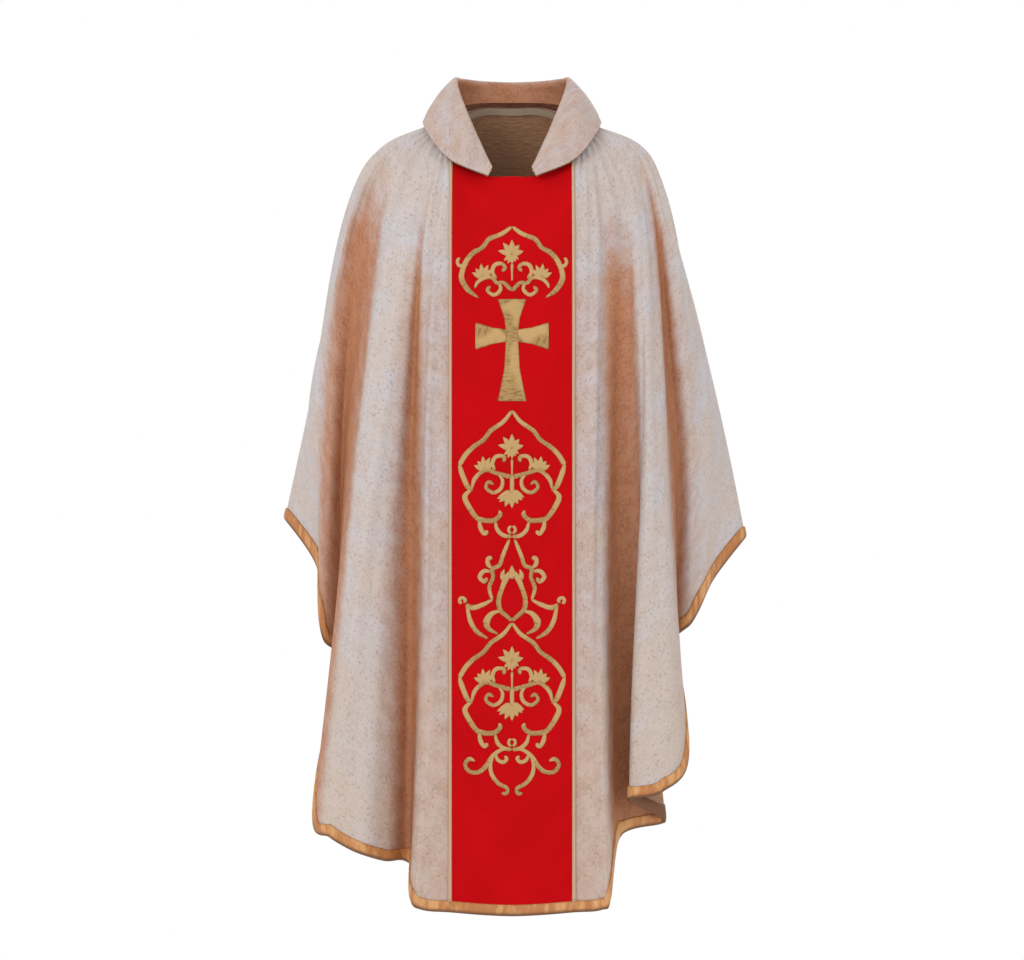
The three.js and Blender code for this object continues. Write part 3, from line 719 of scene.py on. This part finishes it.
def collarSection(u, v):
    # v 0 at the neck seam, 0.38 at the roll, 1 at the outer edge
    seamLine, roll, edge = (collarLine(collar[key], u) for key in ("seam", "roll", "edge"))
    around = collarLine(collar["roll"], u + 0.004) - collarLine(collar["roll"], u - 0.004)
    fall = edge - roll
    out = np.cross(around, fall)
    out /= np.linalg.norm(out, axis=1, keepdims=True)
    up = np.array([0, 0, 1.0])
    puff = collar["bulge"] * np.minimum(1, np.linalg.norm(fall, axis=1, keepdims=True) / 0.05)
    stops = [seamLine, seamLine + (roll - seamLine) * 0.55 - out * 0.001,
             roll - out * 0.0025 - up * 0.004, roll + out * 0.001 + up * 0.001,
             roll + fall * 0.10 + out * 0.0045, roll + fall * 0.4 + out * puff,
             roll + fall * 0.75 + out * puff * 0.7, edge]
    line = np.stack([2 * stops[0] - stops[1], *stops, 2 * stops[-1] - stops[-2]])
    place = v * (len(stops) - 1)
    k = min(int(place), len(stops) - 2)
    f = np.full(len(u), place - k)
    return spline(line[k], line[k + 1], line[k + 2], line[k + 3], f), out


def makeCollar():
    u = np.linspace(0, 1, collar["around"] + 1)
    v = np.linspace(0, 1, collar["down"] + 1)
    rows = [collarSection(u, share) for share in v]
    points = np.stack([place for place, _ in rows])
    outward = np.stack([out for _, out in rows])
    flat = flatPlaces(points)
    # painted shade of the collar: deepest on the stand's inner side, lighter on the fall
    shade = np.interp(v, collar["shadeAt"], collar["shade"])
    shade = np.broadcast_to(shade[:, None], points.shape[:2])
    piece = sheetGrid("collar", collar["around"], collar["down"], points, flat, shade)
    faceOut(piece, outward)
    thicken(piece, collar["thickness"], 0.0)
    dress(piece, "brocade", ["collar_fall", "collar_stand"])
    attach(piece, "root")
    half = collar["down"] // 2
    under = points[half:] - outward[half:] * collar["facingGap"]
    facing = sheetGrid("collarFacing", collar["around"], len(under) - 1, under, flatPlaces(under))
    faceOut(facing, outward[half:])
    thicken(facing, collar["facingThickness"])
    dress(facing, "lining", ["collar_facing"])
    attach(facing, "root")


makeCollar()
print("collar turned down")

tapes = {"height": -0.0040, "thickness": 0.0010, "width": 0.014, "stayLength": 0.095,
         "neckLength": {"front": 0.39, "back": 0.31},
         "neckFolds": 8, "neckDown": (0.002, 0.031), "neckGrid": (96, 3),
         "stayFolds": 0.73, "stayDown": (0.06, 0.26), "stayGrid": (16, 60)}


def makeTapes():
    for face, middle in (("front", seam), ("back", 3 * seam)):
        piece = clothPatch(f"{face}NeckTape", middle - tapes["neckFolds"],
                           middle + tapes["neckFolds"], *tapes["neckDown"], *tapes["neckGrid"],
                           tapes["height"], tapes["thickness"])
        dress(piece, "tape", [f"{face}_neck_tape"])
        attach(piece, "root")
    for sideName, middle in (("left", 0), ("right", 2 * seam)):
        piece = clothPatch(f"{sideName}ShoulderStay", middle - tapes["stayFolds"],
                           middle + tapes["stayFolds"], *tapes["stayDown"], *tapes["stayGrid"],
                           tapes["height"], tapes["thickness"])
        dress(piece, "tape", [f"{sideName}_shoulder_stay"])
        hangFrom(piece)


makeTapes()
print("tapes sewn")

stitches = {"height": 0.0029, "dome": 0.0015, "step": 0.0025, "across": 6, "root": 0.0006,
            "fullHalf": 2.5, "thinnest": 0.4, "tipShare": 0.012}

# heights down the bands, looked up to place a stitch a given way down
lookUp = {"across": 16, "down": 600}
dropAcross = np.linspace(-band["folds"], band["folds"], lookUp["across"] + 1)
dropShares = np.linspace(0, 1, lookUp["down"] + 1)
dropHeights = {}
for face, middle in (("front", seam), ("back", 3 * seam)):
    across, down = np.broadcast_arrays(middle + dropAcross[:, None], dropShares[None, :])
    dropHeights[face] = basePoint(across, down)[..., 2]


def bandPlace(x, down, face):
    # the ring position and the share down the cloth of a point on the band
    sideways = (x if face == "front" else -x) / (hang["bandFold"] * scaleX)
    target = hang["frontNeck"] * scaleZ - down
    rows = np.stack([np.interp(-target, -line, dropShares) for line in dropHeights[face]])
    place = (sideways + band["folds"]) * lookUp["across"] / (2 * band["folds"])
    place = np.clip(place, 0, lookUp["across"] - 0.001)
    k = place.astype(int)
    pick = np.arange(len(k))
    share = rows[k, pick] * (1 - place + k) + rows[k + 1, pick] * (place - k)
    return (seam if face == "front" else 3 * seam) + sideways, share


def strokeRings(points, width, taper, face, top):
    # a domed ridge of satin stitch along a line of (sideways, down) points in millimetres;
    # its width is one number, or one for each point
    line = np.array(points, float)
    widths = np.broadcast_to(np.asarray(width, float), len(line))
    line = np.concatenate([[2 * line[0] - line[1]], line, [2 * line[-1] - line[-2]]])
    length = np.linalg.norm(np.diff(line[1:-1], axis=0), axis=1).sum() / 1000
    count = max(6, int(length / stitches["step"]) + 1)
    s = np.linspace(0, 1, count)
    place = s * (len(line) - 3)
    k = np.minimum(place.astype(int), len(line) - 4)
    centre = spline(line[k], line[k + 1], line[k + 2], line[k + 3], place - k)
    ahead = np.gradient(centre, axis=0)
    ahead /= np.maximum(np.linalg.norm(ahead, axis=1, keepdims=True), 1e-9)
    side = np.stack([-ahead[:, 1], ahead[:, 0]], axis=1)
    ends = [np.clip(share / end, 0, 1) if end else np.ones(count)
            for share, end in zip((s, 1 - s), taper)]
    half = np.interp(place, np.arange(len(widths)), widths) / 2
    half = half * np.sqrt(np.clip(ends[0] * ends[1], stitches["tipShare"], 1))
    turn = np.linspace(math.pi, 0, stitches["across"] + 1)
    offsets = np.concatenate([np.cos(turn), [0]])[None, :]
    spots = centre[:, None, :] + side[:, None, :] * (offsets * half[:, None])[..., None]
    fullness = np.clip(half / stitches["fullHalf"], stitches["thinnest"], 1)
    rise = stitches["dome"] * np.sqrt(np.sin(turn[1:-1]))[None, :] * fullness[:, None]
    rise = np.pad(rise, ((0, 0), (1, 2)))
    rise[:, -1] = -stitches["root"]
    a, t = bandPlace(spots[..., 0].ravel() * scaleX,
                     (top + spots[..., 1].ravel()) * scaleZ, face)
    rings = clothPoint(a, t, stitches["height"] + rise.ravel()).reshape(count, -1, 3)
    along = np.broadcast_to(s[:, None] * length, rise.shape)
    flat = np.stack([offsets * half[:, None] / 1000, along], axis=2)
    return rings, flat


def ringStroke(x, z, radius, start=0, sweep=360, points=9):
    turn = np.radians(np.linspace(start, start + sweep, points))
    return [(x + radius * math.cos(k), z + radius * math.sin(k)) for k in turn]


def leaf(x, z, angle, length):
    c, s = math.cos(math.radians(angle)), math.sin(math.radians(angle))
    return [(x + c * length * share, z + s * length * share) for share in (0, 0.3, 0.65, 1)]


def fan(x, z, reach, angles):
    # a flower of pointed leaves spreading from one place
    shape = [reach * 0.3, reach * 0.5, reach * 0.36, 1.2]
    return [(leaf(x, z, angle, reach * (1 if k % 2 == 0 else 0.82)), shape, (0.05, 0.05))
            for k, angle in enumerate(angles)]


def starFlower(x, z):
    return fan(x, z, 23, [-90, -52, -128, -14, -166]) + fan(x, z, 17, [90, 40, 140, 66, 114])


def palmette(x, z, lean):
    return fan(x, z, 21, [-90 + lean, -58 + lean, -122 + lean, -28 + lean, -152 + lean])


plain = (0.02, 0.02)
tip = (0.03, 0.10)


def curl(most):
    # widths of a scroll that swells and ends in a round knob
    return [most * 0.55, most * 0.9, most, most * 0.85, most * 0.8, most]


def widths(points, most):
    shape = curl(most)
    return list(np.interp(np.linspace(0, 1, len(points)), np.linspace(0, 1, len(shape)), shape))


def scroll(points, most=6.6):
    return (points, widths(points, most), tip)


crestStrokes = {
    "both": [
        ([(0, 1), (12, 10), (22, 15), (37, 21), (47, 34), (59, 41), (70, 54), (77, 71), (78, 86),
          (68, 103), (53, 114)], [5, 7.5, 7.5, 8, 7.5, 8, 8, 8.5, 9, 8.5, 3], plain),
        (ringStroke(78, 58, 7, 200, -270), [4, 5.5, 6, 6, 6, 6, 6, 6, 5], plain),
        ([(59, 99), (54, 89), (42, 82), (31, 83), (24, 91), (13, 91), (0, 104)],
         [3, 6, 7, 6.5, 6, 6.5, 7], plain),
        scroll([(22, 88), (18, 101), (28, 110), (39, 103), (34, 96)], 7),
        scroll([(24, 84), (31, 74), (28, 63), (18, 60), (11, 66), (16, 73)], 7.5),
        *palmette(47, 81, 6),
    ],
    "middle": [([(0, 60), (0, 74), (0, 88)], [6, 3, 3], plain), *starFlower(0, 45)],
}
medallionStrokes = {
    "both": [
        ([(0, 1), (12, 17), (24, 26), (34, 33), (45, 47), (59, 57), (72, 71), (82, 88)],
         [5, 7, 7.5, 7.5, 7.5, 7.5, 8, 8], plain),
        ([(82, 85), (79, 97), (74, 111), (69, 122), (62, 128)], [4, 8.5, 8.5, 8, 5], plain),
        ([(62, 124), (73, 137), (68, 152), (57, 169), (48, 174), (30, 175), (19, 167), (20, 159)],
         [4, 8.5, 8.5, 8, 8.5, 8, 7.5, 8], tip),
        scroll([(52, 172), (50, 186), (44, 196), (38, 191)], 8),
        ([(27, 176), (23, 190), (13, 199), (0, 201)], [4, 7, 7, 6], plain),
        (ringStroke(0, 190, 5.5, 90, -180), 5, plain),
        ([(63, 126), (60, 112), (53, 102), (41, 95), (25, 100), (0, 107)],
         [3, 6.5, 7, 7, 7, 8], plain),
        scroll([(22, 101), (15, 112), (18, 125), (30, 131), (41, 123), (37, 114), (29, 118)], 7),
        scroll([(27, 96), (31, 84), (25, 74), (13, 74), (13, 83)], 7.5),
        *palmette(44, 94, 6),
    ],
    "middle": [([(0, 78), (0, 92), (0, 106)], [5, 3, 3], plain),
               ([(0, 104), (0, 118), (0, 132)], 7, plain),
               *starFlower(0, 61), *fan(0, 130, 26, [90, 64, 116, 38, 142, 24, 156])],
}
linkStrokes = {
    "both": [
        ([(4, 1), (9, 13), (15, 28), (20, 42), (31, 48), (30, 61), (36, 78), (31, 97)],
         [4, 6.5, 7, 7, 7.5, 6.5, 7, 5], plain),
        scroll([(31, 48), (38, 40), (38, 31), (31, 31)], 8),
        scroll([(33, 52), (44, 51), (51, 60), (44, 68), (39, 61)], 8),
        ([(30, 96), (46, 104), (62, 109), (72, 104)], [4, 7.5, 8.5, 7], plain),
        (ringStroke(77, 98, 4.5, 120, 330), 6, plain),
        ([(70, 106), (65, 130), (55, 147), (38, 158)], [5, 7.5, 7.5, 4], plain),
        ([(2, 52), (9, 62), (15, 76), (21, 96), (19, 112), (9, 122), (0, 130)],
         [6, 10, 8, 8, 8, 7, 6], plain),
        ([(16, 114), (31, 118), (40, 130), (37, 142), (22, 151)], [3, 8, 12, 8, 3], plain),
        ([(13, 66), (15, 57), (12, 48)], [10, 8, 1.5], plain),
    ],
    "middle": [([(0, 64), (0, 54), (0, 42)], [11, 12, 1.5], plain)],
}
tailStrokes = {
    "both": [
        scroll([(8, -12), (20, -8), (31, 1), (41, 16), (52, 25), (66, 25), (73, 14), (67, 5),
                (58, 8)], 8),
        scroll([(30, 2), (34, 14), (32, 29), (22, 43), (8, 51), (9, 59), (17, 59)], 7.5),
        scroll([(26, -4), (23, 6), (14, 10), (8, 5), (12, 0)], 7),
    ],
    "middle": [],
}
# a plain cross with flared ends, a wide bar of laid thread each way
crossStrokes = {
    "both": [([(9, 58), (32, 58), (58, 58)], [20, 27, 44], (0, 0))],
    "middle": [([(0, 0), (0, 30), (0, 58), (0, 110), (0, 162)], [46, 25, 19, 25, 46], (0, 0))],
}

motifs = [
    {"name": "crest", "top": 81, "strokes": crestStrokes},
    {"name": "cross", "top": 198, "strokes": crossStrokes},
    {"name": "upper_medallion", "top": 374, "strokes": medallionStrokes},
    {"name": "link", "top": 578, "strokes": linkStrokes},
    {"name": "lower_medallion", "top": 710, "strokes": medallionStrokes},
    {"name": "tail_scrolls", "top": 921, "strokes": tailStrokes},
]


def joined(name, parts):
    bpy.ops.object.select_all(action="DESELECT")
    for part in parts:
        part.select_set(True)
    bpy.context.view_layer.objects.active = parts[0]
    bpy.ops.object.join()
    whole = bpy.context.object
    whole.name = name
    whole.data.name = name
    whole.select_set(False)
    return whole


def makeMotif(face, motif):
    strokes = [(points, width, taper, flip) for flip in (1, -1)
               for points, width, taper in motif["strokes"]["both"]]
    strokes += [(points, width, taper, 1) for points, width, taper in motif["strokes"]["middle"]]
    parts = []
    for number, (points, width, taper, flip) in enumerate(strokes):
        line = [(flip * x, z) for x, z in points]
        rings, flat = strokeRings(line, width, taper, face, motif["top"])
        parts.append(stripMesh(f"stroke{number}", rings, flat))
    words = [word.capitalize() for word in motif["name"].split("_")]
    piece = joined(face + "".join(words), parts)
    dress(piece, "gold_thread", [f"{face}_{motif['name']}"])
    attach(piece, "root")
    trims[face].append(piece)


for face in ("front", "back"):
    for motif in motifs:
        makeMotif(face, motif)
print("embroidery worked")

# a white floor under the garment and three soft lights that look at its middle
stage = {"floor": -1.75, "size": 6, "lookAt": (0, 0, -0.6),
         "lights": [("keyLight", (-2.4, -3.4, 1.8), 1.4, 55),
                    ("fillLight", (2.8, -3.2, 0.4), 2.2, 12),
                    ("backLight", (0.5, 3.5, 1.8), 2.0, 40)]}
bpy.ops.mesh.primitive_plane_add(size=stage["size"], location=(0, 0, stage["floor"]))
floor = bpy.context.object
floor.name = "floor"
pale = Paint("paleFloor")
floor.data.materials.append(pale.finish(Base_Color=(0.9, 0.9, 0.9, 1), Roughness=0.9))
world = bpy.data.worlds.new("studio")
bpy.context.scene.world = world
world.use_nodes = True
world.node_tree.nodes["Background"].inputs[0].default_value = (1, 1, 1, 1)
world.node_tree.nodes["Background"].inputs[1].default_value = 1.0


def softLight(name, place, size, power):
    bpy.ops.object.light_add(type="AREA", location=place)
    light = bpy.context.object
    light.name = name
    light.data.size = size
    light.data.energy = power
    direction = Vector(stage["lookAt"]) - Vector(place)
    light.rotation_euler = direction.to_track_quat("-Z", "Y").to_euler()


for light in stage["lights"]:
    softLight(*light)
print("stage lit")
